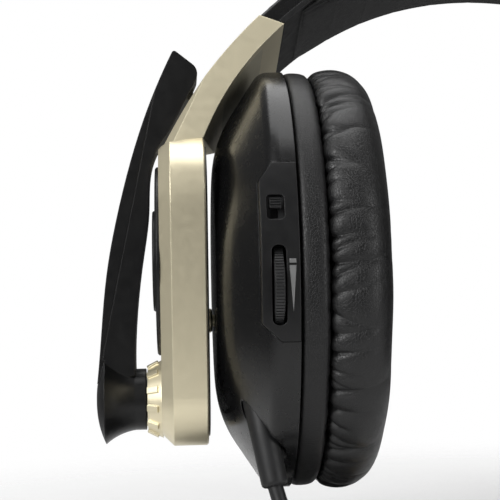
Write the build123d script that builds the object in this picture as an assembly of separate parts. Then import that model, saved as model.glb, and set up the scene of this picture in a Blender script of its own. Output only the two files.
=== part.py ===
"""Over-ear headset with a boom microphone, as separate pieces, in millimetres.

Frame: +Z up, +X to the wearer's right, +Y the way the wearer faces. The origin is the middle of the
headband pad's underside, where the head holds the headset up. Each side is drawn once in its own cup
frame (x from the yoke towards the head, y forward, z up, origin level with the cup's centre), moved to
the wearer's left, and mirrored for the right. The headband and the arms are drawn in the arch plane,
which leans forward from the top of the yokes.
"""
import os
from math import atan2, cos, degrees, pi, radians, sin, sqrt

from build123d import *

# ---------------------------------------------------------------- overall
HALF_SPAN = 85.0            # cup frame origin to the mid-plane
LEAN = 14.0                 # forward lean of the arch, degrees
ARCH_FOOT_Z = 33.0          # height in the cup frame where the arch starts to lean
FIT = 0.06                  # radial clearance of a shaft or ball in its seat
GAP = 0.3                   # clearance between parts that pass each other

# ---------------------------------------------------------------- headband arch, in the arch plane
BAND_CENTRE = -28.0         # height of the arch's centre of curvature
BAND_OUTER = 87.0
BAND_INNER = 80.8
BAND_WIDTH = 31.0
BAND_SKIN = 3.0
LINER_THICK = 1.5
PAD_THICK = 2.0
PAD_HALF_ANGLE = 40.0
SLIDER_WIDTH = 24.4
SLIDER_R = (82.36, 83.94)   # spring-steel slider, inside the band's channel
SLIDER_ANGLES = (21.0, 49.5)

# ---------------------------------------------------------------- arm, in the arch plane
ARM_OUT_FOOT = (-88.3, -3.4)
ARM_OUT_MID = (-77.6, 14.6)
ARM_OUT_END = (-63.1, 31.9)
ARM_IN_FOOT = (-78.4, -2.4)
ARM_IN_MID = (-69.4, 14.9)
ARM_IN_END = (-56.8, 29.4)
ARM_WALL = 1.8
ARM_CHAMFER = 2.4
ARM_COVER_THICK = 1.4

# ---------------------------------------------------------------- yoke, in the cup frame
YOKE_OUT = -4.5             # outer face
YOKE_IN = 6.8               # edge of the housing on the cup side
YOKE_WALL = 2.2
YOKE_TOP_R = 16.0
YOKE_TOP_Y = 12.3
YOKE_TOP_Z = 19.0
YOKE_BOTTOM_R = 14.0
YOKE_BOTTOM_Y = 9.0
YOKE_BOTTOM_Z = -27.5
YOKE_CHAMFER = 2.8
YOKE_CUT_Z = 33.4           # height of the sloping top at x = 0
YOKE_CUT_SLOPE = 11.0       # slope of the top, degrees
TRIM_Z = 5.0
TRIM_R = 24.3
TRIM_FACE = -5.6
BADGE_R = 13.0
BADGE_FACE = -6.5
YOKE_SCREWS = ((18.0, 20.0), (-18.0, 20.0), (14.0, -31.0), (-14.0, -31.0))

# ---------------------------------------------------------------- pivot
PIVOT_X = 14.6
PIVOT_Z = -10.6
BALL_R = 3.0
STUD_R = 3.1
NECK_R = 1.5
PIN_R = 0.6
TRUNNION_R = 0.9            # upright pins of the ball that the cup swivels on
TRUNNION_LENGTH = 1.3

# ---------------------------------------------------------------- cup
CUP_FACE = 9.0              # flat outer face of the dome
CUP_SEAM = 26.9             # where the shell meets the cushion base
CUP_R = 53.3                # half of the height
CUP_SLOPE_R = 34.6
CUP_SLOPE_X = 21.3
CUP_WALL = 2.2
OVAL = 0.882                # front-to-back size over height
BASE_R = 53.0
BASE_END = 33.6
BAFFLE_R = 50.4
BAFFLE_THICK = 1.8
CUSHION_R = 54.0
CUSHION_FACE = 49.0
CUSHION_HOLE_R = 31.0
CUSHION_ROUND = 9.0
CUP_SCREWS = ((26.0, 37.0), (-26.0, 37.0), (20.0, -42.0), (-20.0, -42.0))

# ---------------------------------------------------------------- controls on the left cup's rear edge
PANEL_R = 53.5
PANEL_SKIN = 1.8
PANEL_WALL = 1.4
PANEL_OUTLINE = (
    (27.5, 24.8), (21.4, 24.8), (18.3, 20.4), (18.3, -11.6), (22.6, -15.6), (27.5, -15.6),
)
WHEEL_R = 11.0
WHEEL_X = (21.0, 23.3)
WHEEL_Z = -3.1
WHEEL_PROUD = 1.6
WHEEL_RIBS = 96
WHEEL_SLOT = (20.5, 23.8, -12.0, 5.8)
MUTE_SLOT = (19.7, 23.7, 11.5, 17.1)
MUTE_KNOB = (20.4, 23.0, 14.0, 16.3)
MARK_TOP = 2.6
MARK_BOTTOM = -9.0
MARK_X = (24.4, 25.9)
BOARD_X = (25.0, 26.2)

# ---------------------------------------------------------------- microphone boom
BOOM_Z = -30.4              # swing axis
HUB_RIM_R = 11.2
HUB_NECK_R = 7.8
HUB_X = (-21.3, -19.0, -11.5, -8.7)
AXLE_R = 5.0
AXLE_END = -0.6
RING_X = (-8.3, -4.5)
RING_R = (8.05, 10.0)
RING_RIBS = 12
BOOM_OUTER = ((-20.9, -26.0), (-20.1, -17.8), (-18.2, 1.8), (-15.2, 17.3), (-8.5, 40.6), (-0.4, 59.3))
BOOM_INNER = ((-11.3, -24.0), (-10.9, -10.0), (-9.1, 5.5), (-7.4, 18.0), (-6.7, 28.4), (-4.9, 33.6),
              (-1.5, 38.6), (1.9, 45.0), (4.6, 50.0), (6.3, 54.0))
BOOM_COVER = 2.0
BOOM_WIDTH = 11.0
CAPSULE_Z = 49.5

# ---------------------------------------------------------------- cable
CABLE_D = 3.6
RELIEF_IN = (17.6, -25.3, -27.2)
RELIEF_OUT = (21.5, -31.0, -49.2)
RELIEF_R = (3.5, 3.1)
FLOOR_Z = -80.0             # the surface that the coil lies on, in the cup frame
COIL_CENTRE = (27.0, 0.0)
COIL_LAYERS = 4
COIL_PITCH = 3.7
COIL_MEAN_R = 21.0
PLUG_BODY_R = 3.9
PLUG_PIN_R = 1.75
PLUG_PIN_LENGTH = 14.0

PAD_HEIGHT = BAND_CENTRE + BAND_INNER - PAD_THICK
CUP_Y = -PAD_HEIGHT * sin(radians(LEAN))
CUP_Z = -PAD_HEIGHT * cos(radians(LEAN)) - ARCH_FOOT_Z
LEFT = Pos(-HALF_SPAN, CUP_Y, CUP_Z)
ARCH = Plane(
    origin=(0, CUP_Y, CUP_Z + ARCH_FOOT_Z),
    x_dir=(1, 0, 0),
    z_dir=(0, -cos(radians(LEAN)), sin(radians(LEAN))),
)


# ---------------------------------------------------------------- helpers
def block(x, y, z):
    """Box between pairs of x, y and z values."""
    return Pos((x[0] + x[1]) / 2, (y[0] + y[1]) / 2, (z[0] + z[1]) / 2) * Box(
        x[1] - x[0], y[1] - y[0], z[1] - z[0]
    )


def rod(x, radius, y=0.0, z=0.0):
    """Cylinder along X between two x values."""
    return Pos(x[0], y, z) * extrude(Plane.YZ * Circle(radius), x[1] - x[0])


def oval_rod(x, height):
    """Oval cylinder along X with the cup's outline; height is half of its height."""
    return Pos(x[0], 0, 0) * extrude(Plane.YZ * Ellipse(height * OVAL, height), x[1] - x[0])


def turned(corners, radii=None, z=0.0):
    """Solid of revolution about X from (x, radius) corners, with optional corner radii."""
    if radii is None:
        face = make_face(Polyline(*corners, close=True))
    else:
        line = FilletPolyline(*corners[1:-1], radius=radii)
        start = Polyline(corners[-1], corners[0], corners[1])
        face = make_face(line + start + Line(corners[-2], corners[-1]))
    return Pos(0, 0, z) * revolve(face, Axis.X)


def oval(solid):
    """Squeeze a round cup part to the oval outline."""
    return scale(solid, by=(1, OVAL, 1))


def cone_rod(start, end, r_start, r_end):
    """Tapered rod between two points."""
    axis = Vector(*end) - Vector(*start)
    base = Plane(origin=start, z_dir=axis)
    tip = Plane(origin=end, z_dir=axis)
    return loft([base * Circle(r_start), tip * Circle(r_end)])


def arch_slab(face, width):
    """Extrude an arch-plane face evenly to both sides."""
    return extrude(ARCH * face, width / 2, both=True)


def band_face(outer, inner, half_angle):
    """Arch-plane sector of the headband between two radii."""
    a = radians(half_angle)
    points = [(r * sin(s * a), BAND_CENTRE + r * cos(a)) for r in (outer, inner) for s in (-1, 1)]
    top = ThreePointArc(points[0], (0, BAND_CENTRE + outer), points[1])
    low = ThreePointArc(points[2], (0, BAND_CENTRE + inner), points[3])
    return make_face([top, low, Line(points[0], points[2]), Line(points[1], points[3])])


# ---------------------------------------------------------------- headband
def band_end_cuts():
    """Solids that end the headband just short of each arm's sloping end."""
    (ox, oz), (ix, iz) = ARM_OUT_END, ARM_IN_END
    dx, dz = ix - ox, iz - oz
    shift = GAP / sqrt(dx * dx + dz * dz)
    ox, oz = ox - dz * shift, oz + dx * shift
    ix, iz = ix - dz * shift, iz + dx * shift
    far = 6.0
    start = (ox - far * dx, oz - far * dz)
    end = (ix + far * dx, iz + far * dz)
    outline = Polyline(start, end, (end[0], end[1] - 90), (start[0] - 60, start[1] - 90), close=True)
    left = arch_slab(make_face(outline), BAND_WIDTH + 20)
    return left + mirror(left, about=Plane.YZ)


def headband():
    cuts = band_end_cuts()
    seam = BAND_INNER + LINER_THICK
    shell = arch_slab(band_face(BAND_OUTER, seam, 55), BAND_WIDTH)
    channel = arch_slab(band_face(BAND_OUTER - BAND_SKIN, seam - 1, 60), BAND_WIDTH - 2 * BAND_SKIN)
    long_edges = shell.edges().filter_by(GeomType.CIRCLE).sort_by(SortBy.RADIUS)[-2:]
    shell = fillet(long_edges, 1.2) - channel - cuts
    liner = arch_slab(band_face(seam, BAND_INNER, 55), BAND_WIDTH) - cuts
    pad = arch_slab(band_face(BAND_INNER, BAND_INNER - PAD_THICK, PAD_HALF_ANGLE), BAND_WIDTH - 3)
    return {
        "headband_shell": shell,
        "headband_liner": liner,
        "headband_pad": pad,
    }


# ---------------------------------------------------------------- arms
def arm_face():
    outer = ThreePointArc(ARM_OUT_FOOT, ARM_OUT_MID, ARM_OUT_END)
    inner = ThreePointArc(ARM_IN_FOOT, ARM_IN_MID, ARM_IN_END)
    return make_face([outer, inner, Line(ARM_OUT_FOOT, ARM_IN_FOOT), Line(ARM_OUT_END, ARM_IN_END)])


def above_yoke(offset):
    """Big block above the yoke's sloping top, in the cup frame."""
    base = Pos(0, 0, YOKE_CUT_Z + offset) * Rot(0, -YOKE_CUT_SLOPE, 0)
    return base * Pos(0, 0, 60) * Box(160, 120, 120)


def arm_chamfer(side):
    """Wedge that takes off an outer long edge at the foot and runs out half-way up."""
    half = side * BAND_WIDTH / 2
    foot = Vector(*ARM_OUT_FOOT)
    run_out = Vector(*ARM_OUT_MID)
    corner = ARCH.from_local_coords(Vector(foot.X, foot.Y, half))
    along = ARCH.from_local_coords(Vector(run_out.X, run_out.Y, half))
    inward = ARCH.from_local_coords(Vector(foot.X + ARM_CHAMFER, foot.Y, half))
    across = ARCH.from_local_coords(Vector(foot.X, foot.Y, half - side * ARM_CHAMFER))
    normal = (inward - across).cross(along - across).normalized()
    if normal.dot(corner - across) < 0:
        normal = -normal
    cutter = Plane(origin=across, z_dir=normal) * Pos(0, 0, 20) * Box(120, 120, 40)
    return cutter


def arc_strip(arc, near, far, t0, t1):
    """Arch-plane face between two offsets outside an arc, from t0 to t1 along it."""
    centre = arc.arc_center
    edges = []
    corners = []
    for shift in (near, far):
        factor = 1 + shift / arc.radius
        points = [centre + ((arc @ t) - centre) * factor for t in (t0, (t0 + t1) / 2, t1)]
        edges.append(ThreePointArc(*points))
        corners.append((points[0], points[2]))
    ends = [Line(corners[0][i], corners[1][i]) for i in (0, 1)]
    return make_face(edges + ends)


def arms():
    keep = LEFT * above_yoke(0)
    solid = arch_slab(arm_face(), BAND_WIDTH) & keep
    for side in (-1, 1):
        solid = solid - arm_chamfer(side)
    width = BAND_WIDTH - 2 * ARM_WALL - 2
    inner = ThreePointArc(ARM_IN_FOOT, ARM_IN_MID, ARM_IN_END)
    cover = arch_slab(arc_strip(inner, 0, ARM_COVER_THICK, 0.34, 0.80), width)
    pocket = arch_slab(arc_strip(inner, -1, ARM_COVER_THICK, 0.34, 0.80), width)
    a0, a1 = (radians(angle) for angle in SLIDER_ANGLES)
    rim = [(-r * sin(a), BAND_CENTRE + r * cos(a)) for r in SLIDER_R for a in (a0, (a0 + a1) / 2, a1)]
    low = ThreePointArc(*rim[:3])
    high = ThreePointArc(*rim[3:])
    ends = [Line(rim[0], rim[3]), Line(rim[2], rim[5])]
    slider = arch_slab(make_face([low, high] + ends), SLIDER_WIDTH)
    solid = solid - pocket - slider
    pieces = {"arm": solid, "arm_cover": cover, "slider": slider}
    result = {}
    for name, piece in pieces.items():
        result["left_" + name] = piece
        result["right_" + name] = mirror(piece, about=Plane.YZ)
    return result


# ---------------------------------------------------------------- yoke
def yoke_outline(inset):
    """Yoke outline in the YZ plane, moved inwards by inset."""
    top = YOKE_TOP_R - inset
    low = YOKE_BOTTOM_R - inset
    circles = [Pos(s * YOKE_TOP_Y, YOKE_TOP_Z) * Circle(top) for s in (-1, 1)]
    circles += [Pos(s * YOKE_BOTTOM_Y, YOKE_BOTTOM_Z) * Circle(low) for s in (-1, 1)]
    return make_hull((circles[0] + circles[1] + circles[2] + circles[3]).edges())


def yoke_slab(x, inset):
    return Pos(x[0], 0, 0) * extrude(Plane.YZ * yoke_outline(inset), x[1] - x[0])


def yoke_pieces(side):
    body = yoke_slab((YOKE_OUT, YOKE_IN), 0)
    body = chamfer(body.faces().sort_by(Axis.X)[0].edges(), YOKE_CHAMFER)
    body = chamfer(body.faces().sort_by(Axis.X)[-1].edges(), 0.4) - above_yoke(0)
    cavity = yoke_slab((YOKE_OUT + YOKE_WALL, YOKE_IN + 1), YOKE_WALL) - above_yoke(-YOKE_WALL)
    posts = [rod((YOKE_OUT + 1, 5.0), 2.6, y, z) for y, z in YOKE_SCREWS]
    screws = [
        rod((0.5, 5.4), 1.0, y, z) + rod((5.4, 6.4), 1.9, y, z) for y, z in YOKE_SCREWS
    ]
    housing = body - cavity + posts - screws
    cover = yoke_slab((5.0, 6.2), YOKE_WALL + 0.05) - above_yoke(-YOKE_WALL - 0.05)
    lip = yoke_slab((6.2, 7.2), YOKE_WALL + 0.05) - yoke_slab((6.2, 7.3), YOKE_WALL + 3.0)
    lip = lip - above_yoke(-YOKE_WALL - 0.05)
    stud_seat = rod((4.0, 8.0), STUD_R, 0, PIVOT_Z)
    cover = cover + lip - screws - stud_seat
    if side == "left":
        housing = housing - rod((-10, 0), AXLE_R + FIT, 0, BOOM_Z)
    trim = rod((TRIM_FACE, YOKE_OUT), TRIM_R, 0, TRIM_Z)
    trim = chamfer(trim.edges().sort_by(Axis.X)[0], 0.4)
    badge = rod((BADGE_FACE, TRIM_FACE), BADGE_R, 0, TRIM_Z)
    trim = trim + chamfer(badge.edges().sort_by(Axis.X)[0], 0.3)
    return {
        "yoke_housing": housing,
        "yoke_cover": cover,
        "yoke_trim": trim,
        "pivot_stud": pivot_stud(),
        "yoke_screws": Compound(screws),
    }


def pivot_stud():
    """Stud on the yoke: flange behind the cover, round boss, neck and cross pin."""
    flange = rod((3.4, 5.0), 5.0, 0, PIVOT_Z)
    boss = rod((5.0, 8.5), STUD_R, 0, PIVOT_Z)
    boss = chamfer(boss.edges().sort_by(Axis.X)[-1], 0.4)
    neck = rod((8.5, PIVOT_X + 1.0), NECK_R, 0, PIVOT_Z)
    pin = Pos(PIVOT_X, 0, PIVOT_Z) * Rot(90, 0, 0) * Cylinder(PIN_R, 2 * BALL_R - 1.0)
    return flange + boss + neck + pin


def pivot_ball():
    centre = Pos(PIVOT_X, 0, PIVOT_Z)
    ball = centre * Sphere(BALL_R)
    slot = block(
        (PIVOT_X - BALL_R - 1, PIVOT_X + 1.3),
        (-NECK_R - GAP, NECK_R + GAP),
        (PIVOT_Z - NECK_R - 0.6, PIVOT_Z + NECK_R + 0.6),
    )
    pin_hole = centre * Rot(90, 0, 0) * Cylinder(PIN_R + FIT, 2 * BALL_R)
    trunnions = centre * Cylinder(TRUNNION_R, 2 * (BALL_R + TRUNNION_LENGTH))
    return ball + trunnions - slot - pin_hole


def microphone_ring():
    body = turned(
        ((RING_X[0], AXLE_R + FIT), (RING_X[0], RING_R[0]), (RING_X[1], RING_R[1]),
         (RING_X[1], AXLE_R + FIT)),
        z=BOOM_Z,
    )
    rib_length = 3.0
    taper = degrees(atan2(RING_R[1] - RING_R[0], RING_X[1] - RING_X[0]))
    for i in range(RING_RIBS):
        rib = Pos(RING_X[0] + rib_length / 2, 0, RING_R[0] + 0.6) * Rot(0, -taper, 0)
        rib = rib * Box(rib_length, 1.6, 1.4)
        body = body + Pos(0, 0, BOOM_Z) * Rot(360 * (i + 0.4) / RING_RIBS, 0, 0) * rib
    return body


# ---------------------------------------------------------------- cup
def cup_corners(inset):
    """Half section of the dome as (x, radius), moved inwards by inset."""
    return (
        (CUP_SEAM, 0),
        (CUP_FACE + inset, 0),
        (CUP_FACE + inset, CUP_SLOPE_R - 0.55 * inset),
        (CUP_SLOPE_X + 0.45 * inset, CUP_R - inset),
        (CUP_SEAM, CUP_R - inset),
        (CUP_SEAM, 0.01),
    )


def cup_solid(inset):
    """Solid dome."""
    corners = cup_corners(inset)
    line = FilletPolyline(*corners[1:5], radius=[30.0, 4.0])
    face = make_face(line + Polyline(corners[4], corners[0], corners[1]))
    return oval(revolve(face, Axis.X))


def panel_prism(margin):
    """Panel outline through the rear wall, grown by margin."""
    sketch = make_face(Polyline(*PANEL_OUTLINE, close=True))
    sketch = fillet(sketch.vertices(), 1.2)
    sketch = offset(sketch, margin)
    prism = extrude(Plane.XZ * sketch, 80)
    return prism & block((0, CUP_SEAM - 0.1 + max(margin, 0)), (-80, -30), (-60, 60))


def cup_shell(side):
    shell = cup_solid(0) - cup_solid(CUP_WALL)
    shell = shell - rod((0, 20), NECK_R + 1.5, 0, PIVOT_Z)
    inside = cup_solid(1.0)
    posts = [rod((12, CUP_SEAM), 3.0, y, z) & inside for y, z in CUP_SCREWS]
    holes = [rod((20, 40), 1.25, y, z) for y, z in CUP_SCREWS]
    shell = shell + posts - holes
    if side == "left":
        axis = Vector(*RELIEF_OUT) - Vector(*RELIEF_IN)
        far = Vector(*RELIEF_OUT) + axis * 0.4
        hole = cone_rod(RELIEF_IN, far, RELIEF_R[0] + 0.3, RELIEF_R[0] + 1.2)
        shell = shell - hole - panel_prism(0.08)
    return shell


def baffle():
    plate = oval_rod((CUP_SEAM, CUP_SEAM + BAFFLE_THICK), BAFFLE_R)
    rim = oval_rod((CUP_SEAM + BAFFLE_THICK, BASE_END - 0.6), BAFFLE_R)
    rim = rim - oval_rod((CUP_SEAM, BASE_END), BAFFLE_R - 6)
    body = plate + rim
    for radius, count in ((0, 1), (6, 6), (12, 12)):
        for i in range(count):
            a = 2 * pi * i / count
            body = body - rod((20, 40), 1.4, radius * cos(a), radius * sin(a))
    body = body - [rod((20, 40), 1.25, y, z) for y, z in CUP_SCREWS]
    return body - [rod((CUP_SEAM + BAFFLE_THICK, 40), 2.6, y, z) for y, z in CUP_SCREWS]


def cup_screws():
    head = (CUP_SEAM + BAFFLE_THICK, CUP_SEAM + BAFFLE_THICK + 1.4)
    return Compound(
        [rod((21.5, head[0]), 1.25, y, z) + rod(head, 2.3, y, z) for y, z in CUP_SCREWS]
    )


def pivot_socket():
    """Block behind the dome that holds the ball and turns on it."""
    body = rod((CUP_FACE + CUP_WALL, 18.4), 5.6, 0, PIVOT_Z)
    ball = Pos(PIVOT_X, 0, PIVOT_Z) * Sphere(BALL_R + FIT)
    mouth = rod((CUP_FACE, PIVOT_X), NECK_R + 0.7, 0, PIVOT_Z)
    depth = BALL_R + TRUNNION_LENGTH + GAP
    seats = Pos(PIVOT_X, 0, PIVOT_Z) * Cylinder(TRUNNION_R + FIT, 2 * depth)
    return body - ball - mouth - seats


def driver():
    """Loudspeaker: flange, basket and magnet."""
    return turned(((19.3, 0), (19.3, 11.5), (24.0, 11.5), (25.4, 20.0), (CUP_SEAM, 20.0), (CUP_SEAM, 18.0),
                   (26.4, 16.5), (26.4, 0)))


def cushion_base():
    ring = oval_rod((CUP_SEAM + 0.3, BASE_END), BASE_R)
    ring = fillet(ring.edges(), 0.8)
    return ring - oval_rod((CUP_SEAM, BASE_END + 1), BAFFLE_R)


def ear_cushion():
    """Oval ring with a rounded face, and the ear opening through it."""
    x0 = BASE_END
    outer = oval_rod((x0, CUSHION_FACE), CUSHION_R)
    hole = oval_rod((x0 - 1, CUSHION_FACE + 1), CUSHION_HOLE_R)
    face_edges = outer.edges().sort_by(Axis.X)
    outer = fillet(face_edges[-1], CUSHION_ROUND)
    outer = fillet(outer.edges().sort_by(Axis.X)[0], 1.6)
    ring = outer - hole
    hole_edge = [e for e in ring.edges() if e.center().X > CUSHION_FACE - 0.5]
    hole_edge = sorted(hole_edge, key=lambda e: e.length)[0]
    return fillet(hole_edge, 5.0)


def speaker_cloth():
    x = CUP_SEAM + BAFFLE_THICK + 1.5
    return oval_rod((x, x + 0.6), BAFFLE_R - 6.0)


def cup_pieces(side):
    return {
        "cup_shell": cup_shell(side),
        "baffle": baffle(),
        "pivot_socket": pivot_socket(),
        "driver": driver(),
        "cushion_base": cushion_base(),
        "ear_cushion": ear_cushion(),
        "speaker_cloth": speaker_cloth(),
        "cup_screws": cup_screws(),
        "pivot_ball": pivot_ball(),
    }


# ---------------------------------------------------------------- controls
def panel_depth(z, radius=PANEL_R):
    """Y of the panel's curved face at height z."""
    return -OVAL * sqrt(radius * radius - z * z)


def rounded_slot(x0, x1, z0, z1, y, radius):
    sketch = Pos((x0 + x1) / 2, (z0 + z1) / 2) * RectangleRounded(x1 - x0, z1 - z0, radius)
    return Pos(0, y[1], 0) * extrude(Plane.XZ * sketch, y[1] - y[0])


def control_panel():
    outer = oval_rod((10, 30), PANEL_R)
    inner = oval_rod((9, 31), PANEL_R - PANEL_SKIN)
    body = (panel_prism(0) & outer) - (panel_prism(-PANEL_WALL) & inner)
    body = body - cup_solid(CUP_WALL)
    wheel_slot = rounded_slot(*WHEEL_SLOT, (-60, -40), 1.5)
    mute_slot = rounded_slot(*MUTE_SLOT, (-60, -40), 0.9)
    wheel_room = rod(WHEEL_SLOT[:2], WHEEL_R + 0.5, wheel_axis(), WHEEL_Z)
    return body - wheel_slot - mute_slot - wheel_room - volume_mark()


def wheel_axis():
    return panel_depth(WHEEL_Z) - WHEEL_PROUD + WHEEL_R


def volume_wheel():
    disc = rod(WHEEL_X, WHEEL_R - 0.25)
    disc = chamfer(disc.edges(), 0.2)
    teeth = [
        Rot(360 * i / WHEEL_RIBS, 0, 0)
        * block((WHEEL_X[0] + 0.2, WHEEL_X[1] - 0.2), (-0.2, 0.2), (WHEEL_R - 0.6, WHEEL_R))
        for i in range(WHEEL_RIBS)
    ]
    shaft = rod((WHEEL_X[1] - 0.5, BOARD_X[0] - 0.3), 1.0)
    return Pos(0, wheel_axis(), WHEEL_Z) * (disc + teeth + shaft)


def volume_pot():
    y = wheel_axis()
    body = block((WHEEL_X[1] + 0.3, BOARD_X[0]), (y - 4, y + 4), (WHEEL_Z - 4.5, WHEEL_Z + 4.5))
    return body - rod((20, BOARD_X[0] - 0.2), 1.0 + FIT, y, WHEEL_Z)


def mute_knob():
    x0, x1, z0, z1 = MUTE_KNOB
    y = panel_depth((z0 + z1) / 2) - 0.4
    knob = block((x0, x1), (y, y + 1.6), (z0, z1))
    grooves = [block((x0 - 1, x1 + 1), (y - 1, y + 0.25), (z, z + 0.35)) for z in (14.5, 15.1, 15.7)]
    stem = block((21.2, 22.2), (y + 1.5, y + 3.9), (14.65, 15.65))
    return knob - grooves + stem


def mute_switch():
    """Slide switch body behind the knob, with the track for its stem."""
    y = panel_depth(18.4, PANEL_R - PANEL_SKIN) + 0.2
    body = block((19.9, BOARD_X[0]), (y, y + 4.0), (9.8, 18.4))
    track = block((20.9, 22.5), (y - 1, y + 1.6), (12.0, 16.2))
    return body - track


def circuit_board():
    plate = block(BOARD_X, (-46, -28), (-14.0, 20.5))
    return plate & oval_rod((20, 30), CUP_R - CUP_WALL - 2.4)


def volume_mark():
    """Wedge let into the panel beside the wheel."""
    mid = (MARK_X[0] + MARK_X[1]) / 2
    wedge = make_face(
        Polyline((MARK_X[0], MARK_TOP - 1.4), (MARK_X[1], MARK_TOP - 1.4), (mid, MARK_BOTTOM), close=True)
    )
    cap = Pos(mid, MARK_TOP - 0.4) * Rectangle(MARK_X[1] - MARK_X[0], 0.9)
    prism = extrude(Plane.XZ * wedge, 80) + extrude(Plane.XZ * cap, 80)
    prism = prism & block((0, 40), (-80, -30), (-60, 60))
    skin = oval_rod((20, 30), PANEL_R + 0.1) - oval_rod((19, 31), PANEL_R - 0.7)
    return Compound((prism & skin).solids())


def strain_relief():
    """Tapered sleeve with a square end that is held against the baffle."""
    x, y, z = RELIEF_IN
    anchor = block((x + 0.5, CUP_SEAM), (y - 1.0, y + 4.0), (z - 1.0, z + 4.0))
    return cone_rod(RELIEF_IN, RELIEF_OUT, *RELIEF_R) + anchor


# ---------------------------------------------------------------- microphone boom
def boom_face():
    outer = Spline(*BOOM_OUTER)
    inner = Spline(*BOOM_INNER)
    tip = Line(BOOM_OUTER[-1], BOOM_INNER[-1])
    root = Line(BOOM_OUTER[0], BOOM_INNER[0])
    return make_face([outer, inner, tip, root]), outer


def boom_pieces():
    face, outer = boom_face()
    width = BOOM_WIDTH
    blade = extrude(Plane.XZ * face, width / 2, both=True)
    tip_edges = blade.edges().filter_by(Axis.Y).sort_by(Axis.Z)
    blade = fillet(tip_edges[-1], 0.7)
    blade = fillet(blade.edges().filter_by(Axis.Y).filter_by(lambda e: e.center().X > 5).sort_by(Axis.Z)[-1], 3.2)
    x0, x1, x2, x3 = HUB_X
    bulge = ThreePointArc((x0, 0), (x0 + 0.5, 6.0), (x1, HUB_RIM_R))
    flare = ThreePointArc((x1, HUB_RIM_R), (-15.6, 9.0), (x2, HUB_NECK_R))
    rest = Polyline((x2, HUB_NECK_R), (x3, HUB_NECK_R), (x3, AXLE_R), (AXLE_END, AXLE_R), (AXLE_END, 0), (x0, 0))
    hub = Pos(0, 0, BOOM_Z) * revolve(make_face(bulge + flare + rest), Axis.X)
    strip_line = offset(outer, BOOM_COVER, side=Side.LEFT)
    whole = blade + hub
    strip = make_face(
        Polyline((-60, -60), strip_line @ 0, close=False)
        + strip_line
        + Polyline(strip_line @ 1, (BOOM_OUTER[-1][0] + 1.6, 80), (-60, 80), (-60, -60))
    )
    cover_zone = extrude(Plane.XZ * strip, 40, both=True)
    cap_zone = block((-60, x1), (-40, 40), (BOOM_Z - 30, BOOM_OUTER[0][1] + 6))
    zone = cover_zone + cap_zone
    capsule = rod((-0.8, 2.6), 2.1, 0, CAPSULE_Z)
    grille = rod((2.6, 4.6), 2.4, 0, CAPSULE_Z)
    return {
        "boom_arm": whole - zone - capsule - grille,
        "boom_cover": (whole & zone) - capsule,
        "mic_capsule": capsule,
        "mic_grille": grille,
    }


# ---------------------------------------------------------------- cable
def cable_path(points):
    """Straight runs joined by the largest tangent arcs that the runs allow."""
    vectors = [Vector(*p) for p in points]
    radii = []
    for a, b, c in zip(vectors, vectors[1:], vectors[2:]):
        turn = radians((b - a).get_angle(c - b))
        run = min((b - a).length, (c - b).length)
        radii.append(0.45 * run * cos(turn / 2) / sin(turn / 2))
    print("cable radii", [round(r, 1) for r in radii])
    return FilletPolyline(*points, radius=radii)


def cable_tube(points):
    path = cable_path(points)
    section = Plane(origin=path @ 0, z_dir=path % 0) * Circle(CABLE_D / 2)
    tube = sweep(section, path=path)
    area = pi * CABLE_D ** 2 / 4
    print("cable tube", round(tube.volume, 1), "against", round(area * path.length, 1), "length", path.length)
    return tube


LEAD_POINTS = (
    (21.5, -31.0, -49.2),
    (23.4, -33.2, -56.6),
    (28.2, -34.6, -65.2),
    (35.2, -34.2, -72.6),
    (43.0, -30.2, -77.2),
    (49.6, -22.2, -78.2),
    (53.2, -12.0, -78.2),
    (53.5, -1.2, -78.2),
)
TAIL_POINTS = (
    (3.8, 6.2, -67.1),
    (1.7, -1.5, -66.6),
    (4.4, -9.6, -64.6),
    (11.0, -14.9, -62.0),
    (19.0, -15.4, -61.2),
)


def cable():
    """Lead from the left cup, neat round coil with its tie, and tail to the plug."""
    layers = COIL_LAYERS * COIL_PITCH
    outer = COIL_MEAN_R + layers / 2
    inner = COIL_MEAN_R - layers / 2
    strap = 0.6
    base = Pos(COIL_CENTRE[0], COIL_CENTRE[1], FLOOR_Z)
    coil = Pos(0, 0, layers / 2) * (Cylinder(outer, layers) - Cylinder(inner, layers + 2))
    coil = fillet(coil.edges().filter_by(GeomType.CIRCLE), 1.7)
    wrap = Cylinder(outer + strap, layers + strap) - Cylinder(inner - strap, layers + 2)
    wrap = Pos(0, 0, (layers + strap) / 2) * wrap & block((-5, 5), (0, 60), (-1, 30))
    tie = wrap - (coil & block((-60, 60), (-60, 60), (strap, 30)))
    return {
        "cable_lead": cable_tube(LEAD_POINTS),
        "cable_coil": base * (coil - tie),
        "cable_tail": cable_tube(TAIL_POINTS),
        "cable_tie": base * tie,
    }


def plug():
    """Moulded plug and its pin, lying on the coil."""
    start = Vector(*TAIL_POINTS[-1])
    along = (start - Vector(*TAIL_POINTS[-2])).normalized()
    frame = Plane(origin=start, z_dir=Vector(along.X, along.Y, 0))
    boot = Pos(0, 0, 4) * Cone(2.4, 3.2, 8)
    grip = Pos(0, 0, 16) * Cylinder(PLUG_BODY_R, 16)
    body = boot + fillet(grip.edges(), 0.8)
    z0 = 24.0
    tip = 3.1
    sleeve = Pos(0, 0, z0 + (PLUG_PIN_LENGTH - tip) / 2) * Cylinder(PLUG_PIN_R, PLUG_PIN_LENGTH - tip)
    neck = Pos(0, 0, z0 + PLUG_PIN_LENGTH - tip + 0.5) * Cone(PLUG_PIN_R, 1.2, 1.0)
    nose = Pos(0, 0, z0 + PLUG_PIN_LENGTH - tip + 2.05) * Cone(1.6, 0.5, 2.1)
    pin = sleeve + neck + nose
    print("plug pin base", LEFT * frame * Pos(0, 0, z0))
    return {"plug_body": frame * body, "plug_pin": frame * pin}


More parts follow.
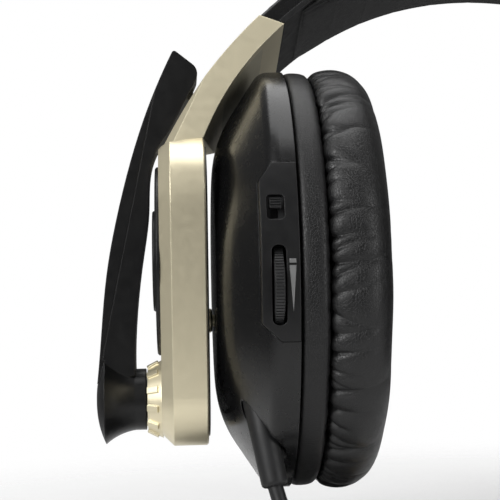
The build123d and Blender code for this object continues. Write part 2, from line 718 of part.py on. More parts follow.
# ---------------------------------------------------------------- whole headset
def build():
    nodes = {}
    nodes.update(headband())
    nodes.update(arms())
    for side in ("left", "right"):
        for name, solid in {**yoke_pieces(side), **cup_pieces(side)}.items():
            placed = LEFT * solid
            nodes[side + "_" + name] = placed if side == "left" else mirror(placed, about=Plane.YZ)
    left_only = {
        "mic_ring": microphone_ring(),
        "control_panel": control_panel(),
        "volume_wheel": volume_wheel(),
        "volume_pot": volume_pot(),
        "mute_knob": mute_knob(),
        "mute_switch": mute_switch(),
        "volume_mark": volume_mark(),
        "circuit_board": circuit_board(),
        "strain_relief": strain_relief(),
        **boom_pieces(),
        **cable(),
        **plug(),
    }
    nodes.update({name: LEFT * solid for name, solid in left_only.items()})
    return nodes


def main():
    os.makedirs("parts", exist_ok=True)
    for name, solid in build().items():
        export_step(solid, f"parts/{name}.step")


main()
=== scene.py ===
"""Over-ear headset with a boom microphone: looks, cable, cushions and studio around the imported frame."""

import bpy
import math
import numpy as np
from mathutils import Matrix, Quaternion, Vector


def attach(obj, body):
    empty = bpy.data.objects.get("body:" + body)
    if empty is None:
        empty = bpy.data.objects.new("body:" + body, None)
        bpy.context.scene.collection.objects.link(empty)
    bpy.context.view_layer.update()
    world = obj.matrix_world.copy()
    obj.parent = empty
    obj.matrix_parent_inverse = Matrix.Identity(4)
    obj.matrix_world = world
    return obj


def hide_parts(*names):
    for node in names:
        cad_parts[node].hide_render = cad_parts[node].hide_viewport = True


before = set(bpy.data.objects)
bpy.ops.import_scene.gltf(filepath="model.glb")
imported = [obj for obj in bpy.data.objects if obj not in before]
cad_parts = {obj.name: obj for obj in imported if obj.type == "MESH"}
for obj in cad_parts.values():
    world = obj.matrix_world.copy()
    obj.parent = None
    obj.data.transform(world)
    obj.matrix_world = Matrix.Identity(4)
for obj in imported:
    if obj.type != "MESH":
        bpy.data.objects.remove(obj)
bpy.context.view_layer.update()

# ---------------------------------------------------------------- sizes shared with the CAD, in mm
HALF_SPAN = 85.0
LEAN = math.radians(14.0)
ARCH_FOOT_Z = 33.0
BAND_CENTRE = -28.0
BAND_INNER = 80.8
PAD_THICK = 2.0
PAD_HEIGHT = BAND_CENTRE + BAND_INNER - PAD_THICK
CUP_Y = -PAD_HEIGHT * math.sin(LEAN)
CUP_Z = -PAD_HEIGHT * math.cos(LEAN) - ARCH_FOOT_Z
OVAL = 0.882
FLOOR_Z = -80.0
CABLE_D = 3.6
RELIEF_IN = (17.6, -25.3, -27.2)
RELIEF_OUT = (21.5, -31.0, -49.2)
COIL_CENTRE = (27.0, 0.0)
COIL_COLUMNS = (26.55, 22.85, 19.15, 15.45)
COIL_LAYERS = (-78.15, -74.45, -70.75, -67.05)
LEAD_POINTS = (
    (21.5, -31.0, -49.2),
    (23.4, -33.2, -56.6),
    (28.2, -34.6, -65.2),
    (35.2, -34.2, -72.6),
    (43.0, -30.2, -77.2),
    (49.6, -22.2, -78.2),
    (53.2, -12.0, -78.2),
    (53.5, -1.2, -78.2),
)
CAMERA_PLACE = (0.0, -300.0, -10.65)    # cup frame, mm
CAMERA_LOOK = (0.0623, 1.0, 0.0606)
CAMERA_ROLL = math.radians(-1.17)
LENS = 83.2                             # mm, on a sensor 36 mm wide
SENSOR_WIDTH = 36.0
FLOOR_HALF = 1.2                        # m
FLOOR_FADE = (0.10, 0.34)               # m from the middle where the floor starts and ends its fade
PIN_RINGS = (3.6, 6.4, 9.2)             # mm along the plug's pin
BACKDROP_STRENGTH = 1.0
ROOM_STRENGTH = 0.24
TAIL_POINTS = (
    (3.8, 6.2, -67.1),
    (1.7, -1.5, -66.6),
    (4.4, -9.6, -64.6),
    (11.0, -14.9, -62.0),
    (19.0, -15.4, -61.2),
)


def left(u, y, z):
    """Cup-frame point in mm to the row frame in metres."""
    return Vector(((u - HALF_SPAN) / 1000, (CUP_Y + y) / 1000, (CUP_Z + z) / 1000))


def collection():
    return bpy.context.scene.collection


# ---------------------------------------------------------------- camera
def make_camera():
    data = bpy.data.cameras.new("camera")
    data.lens = LENS
    data.sensor_width = SENSOR_WIDTH
    data.clip_start = 0.01
    data.clip_end = 60.0
    camera = bpy.data.objects.new("camera", data)
    collection().objects.link(camera)
    camera.location = left(*CAMERA_PLACE)
    look = Vector(CAMERA_LOOK).to_track_quat("-Z", "Y")
    camera.rotation_mode = "QUATERNION"
    camera.rotation_quaternion = look @ Quaternion((0, 0, 1), CAMERA_ROLL)
    bpy.context.scene.camera = camera


make_camera()


# ---------------------------------------------------------------- materials
def wired(tree, kind, **values):
    node = tree.nodes.new(kind)
    for key, value in values.items():
        if key in node.inputs:
            node.inputs[key].default_value = value
        else:
            setattr(node, key, value)
    return node


def height_of(tree, coords, kind, scale):
    """Height field of one surface texture, scale in features per metre."""
    if kind == "pebble":
        cells = wired(tree, "ShaderNodeTexVoronoi", Scale=scale, feature="SMOOTH_F1")
        cells.inputs["Smoothness"].default_value = 0.35
        tree.links.new(coords, cells.inputs["Vector"])
        return cells.outputs["Distance"]
    if kind == "crack":
        cells = wired(tree, "ShaderNodeTexVoronoi", Scale=scale, feature="DISTANCE_TO_EDGE")
        tree.links.new(coords, cells.inputs["Vector"])
        ramp = wired(tree, "ShaderNodeMapRange")
        ramp.inputs["From Max"].default_value = 0.09
        tree.links.new(cells.outputs["Distance"], ramp.inputs["Value"])
        return ramp.outputs["Result"]
    if kind == "weave":
        heights = []
        for axis in ("Y", "Z"):
            wave = wired(tree, "ShaderNodeTexWave", Scale=scale, bands_direction=axis)
            tree.links.new(coords, wave.inputs["Vector"])
            heights.append(wave.outputs["Fac"])
        total = wired(tree, "ShaderNodeMath", operation="MULTIPLY")
        tree.links.new(heights[0], total.inputs[0])
        tree.links.new(heights[1], total.inputs[1])
        return total.outputs[0]
    noise = wired(tree, "ShaderNodeTexNoise", Scale=scale, Detail=4.0, Roughness=0.6)
    tree.links.new(coords, noise.inputs["Vector"])
    return noise.outputs["Fac"]


def material(name, base, rough, metallic=0.0, coat=0.0, coat_rough=0.08, sheen=0.0, specular=0.5,
             tint=0.06, tint_scale=60.0, rough_swing=0.05, bumps=(), edge=0.25, wear=0.0, anisotropic=0.0):
    """Procedural surface: tint and roughness that vary, stacked bumps, softened and slightly worn edges."""
    mat = bpy.data.materials.new(name)
    mat.use_nodes = True
    tree = mat.node_tree
    shader = tree.nodes["Principled BSDF"]
    shader.inputs["Metallic"].default_value = metallic
    shader.inputs["Coat Weight"].default_value = coat
    shader.inputs["Coat Roughness"].default_value = coat_rough
    shader.inputs["Sheen Weight"].default_value = sheen
    shader.inputs["Sheen Roughness"].default_value = 0.45
    shader.inputs["Specular IOR Level"].default_value = specular
    shader.inputs["Anisotropic"].default_value = anisotropic
    coords = tree.nodes.new("ShaderNodeTexCoord").outputs["Object"]
    cloud = wired(tree, "ShaderNodeTexNoise", Scale=tint_scale, Detail=5.0, Roughness=0.6)
    tree.links.new(coords, cloud.inputs["Vector"])
    colour = wired(tree, "ShaderNodeMix", data_type="RGBA")
    colour.inputs[6].default_value = [c * (1 - tint) for c in base] + [1]
    colour.inputs[7].default_value = [min(1.0, c * (1 + tint)) for c in base] + [1]
    tree.links.new(cloud.outputs["Fac"], colour.inputs[0])
    colour_out = colour.outputs[2]
    swing = wired(tree, "ShaderNodeMapRange")
    swing.inputs["From Min"].default_value = 0.3
    swing.inputs["From Max"].default_value = 0.7
    swing.inputs["To Min"].default_value = max(0.02, rough - rough_swing)
    swing.inputs["To Max"].default_value = rough + rough_swing
    fine = wired(tree, "ShaderNodeTexNoise", Scale=tint_scale * 6, Detail=3.0)
    tree.links.new(coords, fine.inputs["Vector"])
    tree.links.new(fine.outputs["Fac"], swing.inputs["Value"])
    tree.links.new(swing.outputs["Result"], shader.inputs["Roughness"])
    normal = None
    if edge:
        bevel = wired(tree, "ShaderNodeBevel", samples=4)
        bevel.inputs["Radius"].default_value = edge / 1000
        normal = bevel.outputs["Normal"]
    if wear and edge:
        geometry = tree.nodes.new("ShaderNodeNewGeometry")
        dot = wired(tree, "ShaderNodeVectorMath", operation="DOT_PRODUCT")
        tree.links.new(normal, dot.inputs[0])
        tree.links.new(geometry.outputs["Normal"], dot.inputs[1])
        mask = wired(tree, "ShaderNodeMapRange")
        mask.inputs["From Min"].default_value = 0.99
        mask.inputs["From Max"].default_value = 0.8
        mask.inputs["To Max"].default_value = wear
        tree.links.new(dot.outputs["Value"], mask.inputs["Value"])
        worn = wired(tree, "ShaderNodeMix", data_type="RGBA")
        worn.inputs[7].default_value = [min(1.0, c * 1.5 + 0.05) for c in base] + [1]
        tree.links.new(mask.outputs["Result"], worn.inputs[0])
        tree.links.new(colour_out, worn.inputs[6])
        colour_out = worn.outputs[2]
    tree.links.new(colour_out, shader.inputs["Base Color"])
    for kind, scale, depth in bumps:
        bump = wired(tree, "ShaderNodeBump")
        bump.inputs["Strength"].default_value = 1.0
        bump.inputs["Distance"].default_value = depth / 1000
        tree.links.new(height_of(tree, coords, kind, scale), bump.inputs["Height"])
        if normal is not None:
            tree.links.new(normal, bump.inputs["Normal"])
        normal = bump.outputs["Normal"]
    if normal is not None:
        tree.links.new(normal, shader.inputs["Normal"])
    return mat


GOLD = material(
    "champagne_metal", (0.74, 0.67, 0.48), 0.36, metallic=0.72, tint=0.03, tint_scale=90,
    rough_swing=0.03, bumps=(("noise", 4200, 0.012),), edge=0.3, wear=0.3,
)
# Darker, duller copy of the champagne metal: painted shade for the arm covers' inner faces, which face away
# from the light.
SHADED_GOLD = material(
    "champagne_painted_shade", (0.60, 0.56, 0.42), 0.42, metallic=0.6, tint=0.04, tint_scale=90,
    bumps=(("noise", 3600, 0.012),), edge=0.3, wear=0.3,
)
SHELL = material(
    "black_gloss", (0.004, 0.004, 0.0042), 0.26, specular=0.35, coat=0.08, coat_rough=0.14,
    tint=0.1, rough_swing=0.03, bumps=(("noise", 2500, 0.004),), edge=0.3, wear=0.2,
)
SATIN = material(
    "black_satin", (0.0065, 0.0065, 0.0068), 0.38, specular=0.32, tint=0.12, rough_swing=0.05,
    bumps=(("noise", 5200, 0.012),), edge=0.35, wear=0.35,
)
BOOM = material(
    "boom_black", (0.005, 0.005, 0.0052), 0.34, specular=0.3, tint=0.12, rough_swing=0.04,
    bumps=(("noise", 6000, 0.009),), edge=0.35, wear=0.3,
)
MATT = material(
    "inner_plastic", (0.05, 0.05, 0.053), 0.55, bumps=(("noise", 3000, 0.02),), edge=0.2,
)
LEATHER = material(
    "leatherette", (0.005, 0.005, 0.0052), 0.40, specular=0.42, sheen=0.015, tint=0.15,
    tint_scale=120, rough_swing=0.06,
    bumps=(("noise", 300, 0.05), ("crack", 1600, 0.03), ("noise", 5000, 0.01)), edge=0.0,
)
BAND_LEATHER = material(
    "band_leatherette", (0.0055, 0.0055, 0.0057), 0.42, specular=0.36, sheen=0.015, tint=0.12,
    tint_scale=120, rough_swing=0.05, bumps=(("crack", 1700, 0.03), ("noise", 5000, 0.01)),
    edge=0.0,
)
CLOTH = material(
    "speaker_weave", (0.02, 0.02, 0.02), 0.8, sheen=0.3, bumps=(("weave", 900, 0.15),), edge=0.0,
)
STEEL = material(
    "spring_steel", (0.30, 0.30, 0.31), 0.42, metallic=1.0, anisotropic=0.4,
    bumps=(("noise", 2600, 0.004),), edge=0.15, wear=0.2,
)
DARK_STEEL = material(
    "plated_steel", (0.16, 0.16, 0.17), 0.3, metallic=1.0, bumps=(("noise", 3000, 0.004),),
    edge=0.1, wear=0.3,
)
SILVER = material(
    "silver_inlay", (0.36, 0.36, 0.36), 0.4, metallic=0.9, bumps=(("noise", 4000, 0.006),),
    edge=0.05,
)
BOARD = material(
    "board_mask", (0.02, 0.09, 0.04), 0.35, coat=0.3, bumps=(("noise", 1500, 0.02),), edge=0.1,
)
BASKET = material(
    "driver_paint", (0.06, 0.06, 0.065), 0.45, bumps=(("noise", 2500, 0.02),), edge=0.2,
)
RUBBER = material(
    "cable_rubber", (0.009, 0.009, 0.0095), 0.5, specular=0.35, sheen=0.02, tint=0.15,
    bumps=(("noise", 2500, 0.02),), edge=0.0,
)
WHEEL = material(
    "wheel_rubber", (0.012, 0.012, 0.0125), 0.40, bumps=(("noise", 3500, 0.01),), edge=0.1,
    wear=0.3,
)
PIN = material(
    "plug_plate", (0.83, 0.62, 0.28), 0.16, metallic=1.0, bumps=(("noise", 2000, 0.003),), edge=0.0,
)
RING = material(
    "plug_ring", (0.01, 0.01, 0.01), 0.3, bumps=(("noise", 2000, 0.003),), edge=0.0,
)
STRAP = material(
    "tie_weave", (0.02, 0.02, 0.021), 0.8, sheen=0.4, bumps=(("weave", 700, 0.2),), edge=0.0,
)

# The arm covers get the darker champagne copy, which is painted shade on their inner faces.
CAD_LOOKS = {
    "headband_shell": SHELL, "headband_liner": SATIN, "left_arm": GOLD,
    "right_arm": GOLD, "left_arm_cover": SHADED_GOLD, "right_arm_cover": SHADED_GOLD, "left_slider": STEEL,
    "right_slider": STEEL, "mic_ring": GOLD, "control_panel": SATIN, "volume_wheel": WHEEL,
    "volume_pot": MATT, "mute_knob": SATIN, "mute_switch": MATT, "volume_mark": SILVER,
    "circuit_board": BOARD, "boom_arm": BOOM, "boom_cover": BOOM, "mic_capsule": BASKET,
    "mic_grille": CLOTH,
}
SIDE_LOOKS = {
    "yoke_housing": GOLD, "yoke_cover": SATIN, "yoke_trim": SATIN, "pivot_stud": GOLD,
    "yoke_screws": DARK_STEEL,
    "pivot_ball": DARK_STEEL, "cup_shell": SHELL, "baffle": MATT, "pivot_socket": MATT, "driver": BASKET,
    "cup_screws": DARK_STEEL, "speaker_cloth": CLOTH,
}
for side in ("left", "right"):
    CAD_LOOKS.update({f"{side}_{name}": mat for name, mat in SIDE_LOOKS.items()})
for name, mat in CAD_LOOKS.items():
    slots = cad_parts[name].material_slots
    for entry in slots:
        entry.material = mat


# ---------------------------------------------------------------- mesh helpers
def mesh_object(name, points, faces, mat, smooth=True):
    """Mesh from row-frame points in metres."""
    mesh = bpy.data.meshes.new(name)
    mesh.from_pydata([tuple(p) for p in points], [], faces)
    mesh.validate()
    mesh.materials.append(mat)
    mesh.polygons.foreach_set("use_smooth", [smooth] * len(mesh.polygons))
    obj = bpy.data.objects.new(name, mesh)
    collection().objects.link(obj)
    return obj


def grid_faces(rows, columns, close_rows, close_columns, flip=False):
    faces = []
    for i in range(rows if close_rows else rows - 1):
        for j in range(columns if close_columns else columns - 1):
            a = i * columns + j
            b = i * columns + (j + 1) % columns
            c = ((i + 1) % rows) * columns + (j + 1) % columns
            d = ((i + 1) % rows) * columns + j
            faces.append((a, d, c, b) if flip else (a, b, c, d))
    return faces


def closed_curve(controls, count):
    """Points evenly along a closed Catmull-Rom curve."""
    controls = np.array(controls, float)
    n = len(controls)
    dense = []
    for i in range(n):
        p = [controls[(i + k - 1) % n] for k in range(4)]
        for t in np.linspace(0, 1, 40, endpoint=False):
            square = (2 * p[0] - 5 * p[1] + 4 * p[2] - p[3]) * t * t
            cube = (3 * p[1] - p[0] - 3 * p[2] + p[3]) * t ** 3
            dense.append(0.5 * ((2 * p[1]) + (p[2] - p[0]) * t + square + cube))
    dense = np.array(dense)
    steps = np.linalg.norm(np.roll(dense, -1, 0) - dense, axis=1)
    along = np.concatenate([[0], np.cumsum(steps)])
    wanted = np.linspace(0, along[-1], count, endpoint=False)
    looped = np.vstack([dense, dense[:1]])
    return np.column_stack([np.interp(wanted, along, looped[:, k]) for k in (0, 1)]), wanted


def lathe(name, profile, start, axis, mat, segments=64):
    """Solid of revolution about a line from start; profile is (distance along, radius) in mm."""
    axis = Vector(axis).normalized()
    across = axis.cross(Vector((0, 0, 1)) if abs(axis.z) < 0.9 else Vector((0, 1, 0))).normalized()
    third = axis.cross(across)
    points = []
    for along, radius in profile:
        for k in range(segments):
            a = 2 * math.pi * k / segments
            offset = across * (radius * math.cos(a)) + third * (radius * math.sin(a))
            points.append(start + (axis * along + offset) / 1000)
    faces = grid_faces(len(profile), segments, False, True, flip=True)
    faces.append(tuple(range(segments)))
    last = (len(profile) - 1) * segments
    faces.append(tuple(last + k for k in reversed(range(segments))))
    return mesh_object(name, points, faces, mat)


# ---------------------------------------------------------------- cable
def smooth(t):
    """Smooth step from 0 to 1."""
    t = min(1.0, max(0.0, t))
    return t * t * (3 - 2 * t)


def coil_points(per_turn=24):
    """Layered coil: even turns that step one column, and one layer at the end of four."""
    shrink = 0.75 + 0.25 * math.cos(2 * math.pi / per_turn)
    order = []
    for layer in range(4):
        columns = range(4) if layer % 2 == 0 else reversed(range(4))
        order += [(column, layer) for column in columns]
    points = []
    for k in range(1, per_turn * 14 + 11):
        turn, part = divmod(k / per_turn, 1.0)
        column, layer = order[int(turn)]
        next_column, next_layer = order[int(turn) + 1]
        shift = smooth((part - 0.75) * 6)
        rise = smooth((part - 5 / 6) * 6)
        radius = COIL_COLUMNS[column] * (1 - shift) + COIL_COLUMNS[next_column] * shift
        z = COIL_LAYERS[layer] * (1 - rise) + COIL_LAYERS[next_layer] * rise
        a = 2 * math.pi * k / per_turn
        points.append((COIL_CENTRE[0] + radius / shrink * math.cos(a),
                       COIL_CENTRE[1] + radius / shrink * math.sin(a), z))
    return points


def make_cable():
    points = [left(*p) for p in (*LEAD_POINTS, *coil_points(), *TAIL_POINTS)]
    curve = bpy.data.curves.new("cable", "CURVE")
    curve.dimensions = "3D"
    curve.bevel_depth = CABLE_D / 2000
    curve.bevel_resolution = 5
    curve.resolution_u = 5
    curve.use_fill_caps = True
    spline = curve.splines.new("NURBS")
    spline.points.add(len(points) - 1)
    for target, point in zip(spline.points, points):
        target.co = (*point, 1.0)
    spline.order_u = 3
    spline.use_endpoint_u = True
    curve.materials.append(RUBBER)
    cable = bpy.data.objects.new("cable", curve)
    collection().objects.link(cable)
    return cable


def make_relief():
    """Tapered moulded sleeve with a rounded lip."""
    start = left(*RELIEF_IN)
    axis = left(*RELIEF_OUT) - start
    length = axis.length * 1000
    profile = [(0, 3.3), (0.3, 3.5), (length * 0.5, 3.32), (length - 1.2, 3.12), (length - 0.5, 3.0),
               (length - 0.12, 2.6), (length, 2.2), (length, 1.82)]
    fine = [(0, 0.4), *profile, (length - 0.3, 0.4)]
    relief = lathe("strain_relief_sleeve", fine, start, axis, RUBBER, 72)
    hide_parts("strain_relief")
    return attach(relief, "left_cup")


def make_tie():
    """Hook-and-loop strap as one closed band round the coil."""
    outer, inner = COIL_COLUMNS[0] + 1.87, COIL_COLUMNS[3] - 1.87
    low, high = FLOOR_Z + 0.55, COIL_LAYERS[3] + 1.87
    corner = 1.6
    loop = []
    for cx, cz, turn in ((outer - corner, high - corner, 0), (inner + corner, high - corner, 1),
                         (inner + corner, low + corner, 2), (outer - corner, low + corner, 3)):
        for k in range(7):
            a = math.pi / 2 * (turn + k / 6)
            loop.append((cx + corner * math.cos(a), cz + corner * math.sin(a), math.cos(a), math.sin(a)))
    widths = np.linspace(-4.5, 4.5, 9)
    thick = 0.5
    points = []
    for r, z, nr, nz in loop:
        for w in widths:
            points.append((r + nr * 0.02, w, z + nz * 0.02))
        for w in widths[::-1]:
            edge = 1 - (abs(w) / 4.5) ** 8 * 0.4
            points.append((r + nr * thick * edge, w, z + nz * thick * edge))
    world = []
    for r, w, z in points:
        a = math.pi / 2 - w / 22.0
        world.append(left(COIL_CENTRE[0] + r * math.cos(a), COIL_CENTRE[1] + r * math.sin(a), z))
    faces = grid_faces(len(loop), 18, True, True)
    tie = mesh_object("coil_strap", world, faces, STRAP)
    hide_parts("cable_tie")
    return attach(tie, "left_cup")


def make_plug():
    """Moulded plug with a ribbed boot, and a four-pole pin."""
    start = left(*TAIL_POINTS[-1])
    axis = Vector(TAIL_POINTS[-1]) - Vector(TAIL_POINTS[-2])
    axis.z = 0.0
    body = [(0, 1.85), (0.2, 2.3)]
    for k in range(5):
        x = 0.9 + 1.35 * k
        r = 2.45 + 0.13 * k
        body += [(x, r), (x + 0.75, r + 0.08), (x + 0.85, r - 0.35), (x + 1.2, r - 0.3)]
    body += [(8.0, 3.2), (8.3, 3.65), (8.8, 3.88), (12.0, 3.9), (20.0, 3.88), (23.2, 3.8)]
    body += [(23.8, 3.4), (24.0, 2.8)]
    plug = lathe("plug_grip", body, start, axis, RUBBER, 64)
    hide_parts("plug_body")
    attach(plug, "left_cup")
    base = start + axis.normalized() * 0.024
    profile = [(0, 1.75), (0.3, 1.75)]
    for x in PIN_RINGS:
        profile += [(x, 1.75), (x, 1.68), (x + 0.7, 1.68), (x + 0.7, 1.75)]
    profile += [(10.9, 1.75), (11.4, 1.3), (11.8, 1.25), (12.3, 1.55), (13.0, 1.3)]
    profile += [(13.7, 0.75), (14.0, 0.3)]
    pin = lathe("plug_contacts", profile, base, axis, PIN, 48)
    pin.data.materials.append(RING)
    for face in pin.data.polygons:
        along = (face.center - base).dot(axis.normalized()) * 1000
        if len(face.vertices) == 4 and any(x + 0.05 < along < x + 0.65 for x in PIN_RINGS):
            face.material_index = 1
    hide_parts("plug_pin")
    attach(pin, "left_cup")
    return plug, pin


CABLE = make_cable()
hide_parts("cable_lead", "cable_coil", "cable_tail")
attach(CABLE, "left_cup")
make_relief()
TIE = make_tie()
PLUG, PLUG_PIN = make_plug()


# ---------------------------------------------------------------- cushions
def pleats(section, along, theta, start, spacing, depth, reach, seed):
    """Radial gathers that start at one seam: a depth in mm for each angle and section point."""
    rng = np.random.default_rng(seed)
    perimeter = 2 * math.pi * 50.0
    places = []
    x = 0.0
    while x < perimeter - spacing[0]:
        places.append(x)
        x += rng.uniform(*spacing)
    places = np.array(places)
    depths = rng.uniform(*depth, len(places))
    widths = rng.uniform(0.35, 0.8, len(places))
    reaches = rng.uniform(*reach, len(places))
    slants = rng.uniform(-0.35, 0.35, len(places))
    ring = theta / (2 * math.pi) * perimeter
    result = np.zeros((len(section), len(theta)))
    total = along[-1] + (along[1] - along[0])
    for j in range(len(section)):
        s = (along[j] - start) % total
        if s > total / 2:
            s = total - s
            s *= 4
        centre = places + slants * s
        gap = np.abs(ring[:, None] - centre[None, :]) % perimeter
        gap = np.minimum(gap, perimeter - gap)
        grow = widths * (1 + 0.12 * s)
        shape = np.exp(-np.sqrt(gap ** 2 + 0.02) / grow[None, :])
        result[j] = -(shape * (depths * np.exp(-(s / reaches) ** 2))[None, :]).sum(1)
    return result


def soft_ring(name, controls, seam, look, replaced, side, seed, segments, rings,
              pleat_kw, swell):
    """Oval padded ring from a cross-section, with gathers and slow swells, as one closed mesh."""
    section, along = closed_curve(controls, rings)
    theta = np.linspace(0, 2 * math.pi, segments, endpoint=False)
    seam_at = int(np.argmin(np.linalg.norm(section - np.array(seam), axis=1)))
    lift = pleats(section, along, theta, along[seam_at], seed=seed, **pleat_kw)
    rng = np.random.default_rng(seed + 50)
    for k in range(2, 15):
        wave = np.cos(k * theta + rng.uniform(0, 6.28))[None, :]
        drift = np.cos(2 * math.pi * along / along[-1] * rng.integers(1, 4) + rng.uniform(0, 6.28))[:, None]
        lift += swell / k * wave * drift
    tangent = np.roll(section, -1, 0) - np.roll(section, 1, 0)
    tangent /= np.linalg.norm(tangent, axis=1)[:, None]
    normal = np.column_stack([-tangent[:, 1], tangent[:, 0]])
    centre = section.mean(0)
    if ((section - centre) * normal).sum() < 0:
        normal = -normal
    u = section[:, 0, None] + normal[:, 0, None] * lift
    r = section[:, 1, None] + normal[:, 1, None] * lift
    sign = 1 if side == "left" else -1
    x = sign * (u - HALF_SPAN) / 1000
    y = (CUP_Y + r * OVAL * np.cos(theta)[None, :]) / 1000
    z = (CUP_Z + r * np.sin(theta)[None, :]) / 1000
    points = np.stack([x, y, z], -1).reshape(-1, 3)
    faces = grid_faces(rings, segments, True, True, flip=side == "right")
    ring = mesh_object(f"{side}_{name}", points, faces, look)
    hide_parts(f"{side}_{replaced}")
    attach(ring, f"{side}_cup")
    return ring


CUSHION_SECTION = (
    (33.72, 44.0), (33.74, 48.9), (33.8, 50.6), (34.3, 52.2), (36.0, 53.4), (39.0, 54.0), (42.0, 53.7),
    (45.0, 52.3), (47.3, 49.6), (48.6, 46.0), (49.0, 42.0), (48.7, 37.8), (47.4, 34.4), (44.8, 32.1),
    (41.0, 31.2), (36.5, 31.1), (34.3, 31.8), (33.75, 34.0), (33.72, 38.0),
)
BASE_SECTION = (
    (27.2, 50.5), (27.25, 51.7), (27.7, 52.6), (29.0, 53.0), (31.2, 52.95), (32.7, 52.5), (33.35, 51.7),
    (33.5, 50.7), (30.6, 50.45),
)
for index, side in enumerate(("left", "right")):
    cushion = soft_ring(
        "ear_pad", CUSHION_SECTION, (33.8, 50.6), LEATHER, "ear_cushion", side, 11 + index,
        1500, 88, dict(spacing=(2.6, 5.2), depth=(0.8, 2.0), reach=(4.0, 13.0)), 0.26)
    band = soft_ring(
        "pad_band", BASE_SECTION, (33.35, 51.7), BAND_LEATHER, "cushion_base", side, 31 + index,
        1100, 30, dict(spacing=(2.6, 6.0), depth=(0.08, 0.4), reach=(1.2, 3.0)), 0.04)


# ---------------------------------------------------------------- headband pad
def arch_point(angle, radius, across):
    """Arch-plane polar point in mm, across the band's width, to the row frame in metres."""
    x = radius * math.sin(angle)
    h = BAND_CENTRE + radius * math.cos(angle)
    up = Vector((0.0, math.sin(LEAN), math.cos(LEAN)))
    wide = Vector((0.0, math.cos(LEAN), -math.sin(LEAN)))
    base = Vector((x, CUP_Y, CUP_Z + ARCH_FOOT_Z))
    return (base + up * h + wide * across) / 1000


def make_band_pad():
    """Crowned pad with a sewn edge and shallow cross channels."""
    half, lengths, widths = math.radians(40.0), 260, 40
    points = []
    for i in range(lengths + 1):
        t = 2 * i / lengths - 1
        end = (1 - abs(t) ** 14) ** 0.5 if abs(t) < 1 else 0.0
        for j in range(widths * 2):
            a = math.pi * j / widths
            w = math.copysign(abs(math.cos(a)) ** 0.55, math.cos(a)) * (14.2 - 0.8 * (1 - end))
            rise = max(0.0, math.sin(a)) ** 0.6
            crown = 2.0 * rise * end
            channel = 0.12 * math.exp(-((math.sin(math.pi * 5 * t)) / 0.22) ** 2) * rise * end
            seam = 0.3 * math.exp(-((abs(w) - 12.2) / 0.5) ** 2) * rise * end
            radius = BAND_INNER - 0.03 - max(0.02, crown - channel - seam)
            if math.sin(a) < 0:
                radius = BAND_INNER - 0.02
            points.append(arch_point(t * half, radius, w))
    faces = grid_faces(lengths + 1, widths * 2, False, True)
    faces.append(tuple(range(widths * 2)))
    last = lengths * widths * 2
    faces.append(tuple(last + k for k in reversed(range(widths * 2))))
    pad = mesh_object("headband_cushion", points, faces, BAND_LEATHER)
    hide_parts("headband_pad")
    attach(pad, "headband")
    return pad


make_band_pad()


# ---------------------------------------------------------------- studio
def make_floor():
    """Pale round floor that fades out to the backdrop."""
    half = FLOOR_HALF
    z = (CUP_Z + FLOOR_Z) / 1000
    corners = [(-half, -half, z), (half, -half, z), (half, half, z), (-half, half, z)]
    mat = material("floor_paper", (0.86, 0.86, 0.86), 0.7, tint=0.01, tint_scale=4, edge=0.0,
                   bumps=(("noise", 800, 0.02),))
    tree = mat.node_tree
    coords = tree.nodes.new("ShaderNodeTexCoord").outputs["Object"]
    flat = wired(tree, "ShaderNodeVectorMath", operation="MULTIPLY")
    flat.inputs[1].default_value = (1.0, 1.0, 0.0)
    tree.links.new(coords, flat.inputs[0])
    reach = wired(tree, "ShaderNodeVectorMath", operation="LENGTH")
    tree.links.new(flat.outputs["Vector"], reach.inputs[0])
    fade = wired(tree, "ShaderNodeMapRange", interpolation_type="SMOOTHSTEP")
    fade.inputs["From Min"].default_value = FLOOR_FADE[0]
    fade.inputs["From Max"].default_value = FLOOR_FADE[1]
    fade.inputs["To Min"].default_value = 1.0
    fade.inputs["To Max"].default_value = 0.0
    tree.links.new(reach.outputs["Value"], fade.inputs["Value"])
    tree.links.new(fade.outputs["Result"], tree.nodes["Principled BSDF"].inputs["Alpha"])
    floor = mesh_object("floor", corners, [(0, 1, 2, 3)], mat, smooth=False)


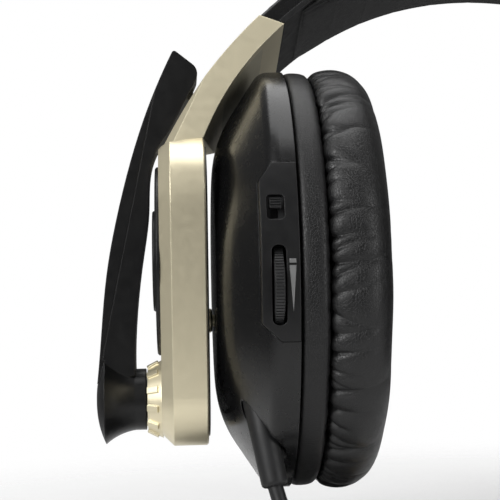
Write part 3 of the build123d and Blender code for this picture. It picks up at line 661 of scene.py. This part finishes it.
def area_light(name, place, target, size, power, tall=None):
    data = bpy.data.lights.new(name, "AREA")
    data.energy = power
    data.size = size
    if tall:
        data.shape = "RECTANGLE"
        data.size_y = tall
    light = bpy.data.objects.new(name, data)
    collection().objects.link(light)
    light.location = place
    light.rotation_mode = "QUATERNION"
    light.rotation_quaternion = (Vector(target) - Vector(place)).to_track_quat("-Z", "Y")


def make_world():
    """Bright where the camera looks past the object, dim and graded in what lights it."""
    world = bpy.data.worlds.new("studio")
    bpy.context.scene.world = world
    world.use_nodes = True
    tree = world.node_tree
    backdrop = tree.nodes["Background"]
    backdrop.inputs["Color"].default_value = (1.0, 1.0, 1.0, 1.0)
    backdrop.inputs["Strength"].default_value = BACKDROP_STRENGTH
    room = wired(tree, "ShaderNodeBackground", Strength=ROOM_STRENGTH)
    coords = tree.nodes.new("ShaderNodeTexCoord").outputs["Generated"]
    parts = tree.nodes.new("ShaderNodeSeparateXYZ")
    tree.links.new(coords, parts.inputs[0])
    grade = tree.nodes.new("ShaderNodeValToRGB")
    grade.color_ramp.elements[0].color = (0.55, 0.55, 0.55, 1)
    grade.color_ramp.elements[1].color = (1.0, 1.0, 1.0, 1)
    tree.links.new(parts.outputs["Z"], grade.inputs["Fac"])
    tree.links.new(grade.outputs["Color"], room.inputs["Color"])
    ray = tree.nodes.new("ShaderNodeLightPath").outputs["Is Camera Ray"]
    mix = tree.nodes.new("ShaderNodeMixShader")
    tree.links.new(ray, mix.inputs[0])
    tree.links.new(room.outputs[0], mix.inputs[1])
    tree.links.new(backdrop.outputs[0], mix.inputs[2])
    tree.links.new(mix.outputs[0], tree.nodes["World Output"].inputs["Surface"])


def make_studio():
    make_world()
    middle = left(10, 0, 0)
    area_light("key", middle + Vector((-0.60, -0.70, 0.40)), middle, 0.45, 9.5, 0.8)
    area_light("fill", middle + Vector((0.70, -0.55, 0.15)), middle, 0.3, 2.6, 0.7)
    area_light("top", middle + Vector((0.05, 0.10, 0.95)), middle, 0.9, 7.0)
    bpy.context.scene.view_settings.view_transform = "Standard"
    bpy.context.scene.view_settings.look = "None"


make_floor()
make_studio()
